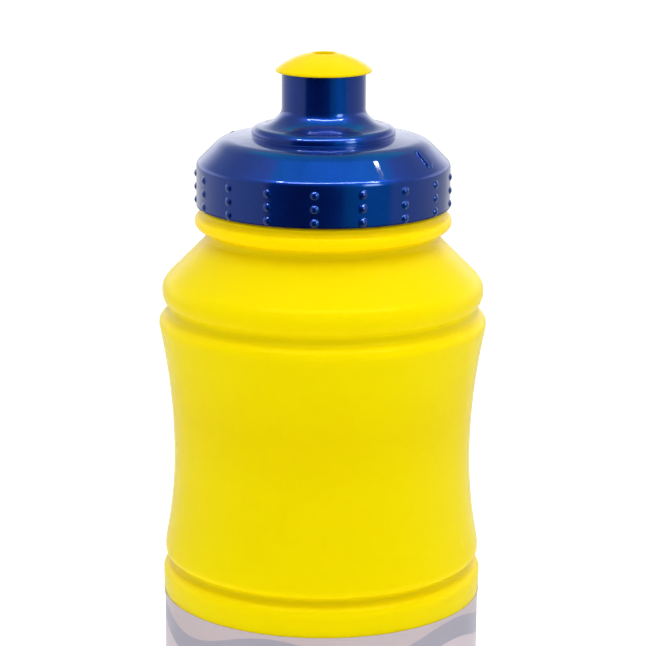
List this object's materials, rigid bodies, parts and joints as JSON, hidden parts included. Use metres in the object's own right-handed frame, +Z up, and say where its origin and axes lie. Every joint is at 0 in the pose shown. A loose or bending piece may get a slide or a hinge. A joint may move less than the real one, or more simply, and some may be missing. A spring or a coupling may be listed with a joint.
{
  "type": "kids water bottle",
  "caption": "Waisted squeeze water bottle for a child, with a ribbed grip, a screw lid with a tall stem and a push-pull drinking spout.",
  "frame": {"origin": "centre of the foot, on the surface the bottle stands on", "axes": "+Z up along the bottle's axis; -Y is the front, where the view of the lid's oval mark is to the right"},
  "size_m": [0.0744, 0.0744, 0.1831],
  "materials": {
    "body_plastic": "satin yellow squeeze polyethylene, slightly translucent",
    "lid_plastic": "pearl blue, high gloss",
    "spout_plastic": "smooth soft yellow, semi-gloss",
    "seal_rubber": "matte translucent white silicone",
    "label_film": "thin printed film, satin"
  },
  "bodies": {
    "bottle": {"bottle_body": "body_plastic", "label_film": "label_film"},
    "seal": {"lid_gasket": "seal_rubber"},
    "lid": {"screw_lid": "lid_plastic", "valve_post": "lid_plastic"},
    "spout": {"spout_cap": "spout_plastic"}
  },
  "joints": [
    {"name": "lid_rise", "type": "slide", "parent": "bottle", "child": "seal", "axis": [0, 0, 1], "range_m": [0, 0.01]},
    {"name": "lid_turn", "type": "hinge", "parent": "seal", "child": "lid", "pos_m": [0, 0, 0.155], "axis": [0, 0, 1], "range_deg": [0, 900]},
    {"name": "spout_pull", "type": "slide", "parent": "lid", "child": "spout", "axis": [0, 0, 1], "range_m": [0, 0.006]}
  ],
  "couplings": [
    {"joint": "lid_rise", "follows": "lid_turn", "m_per_rad": 0.00063662}
  ]
}
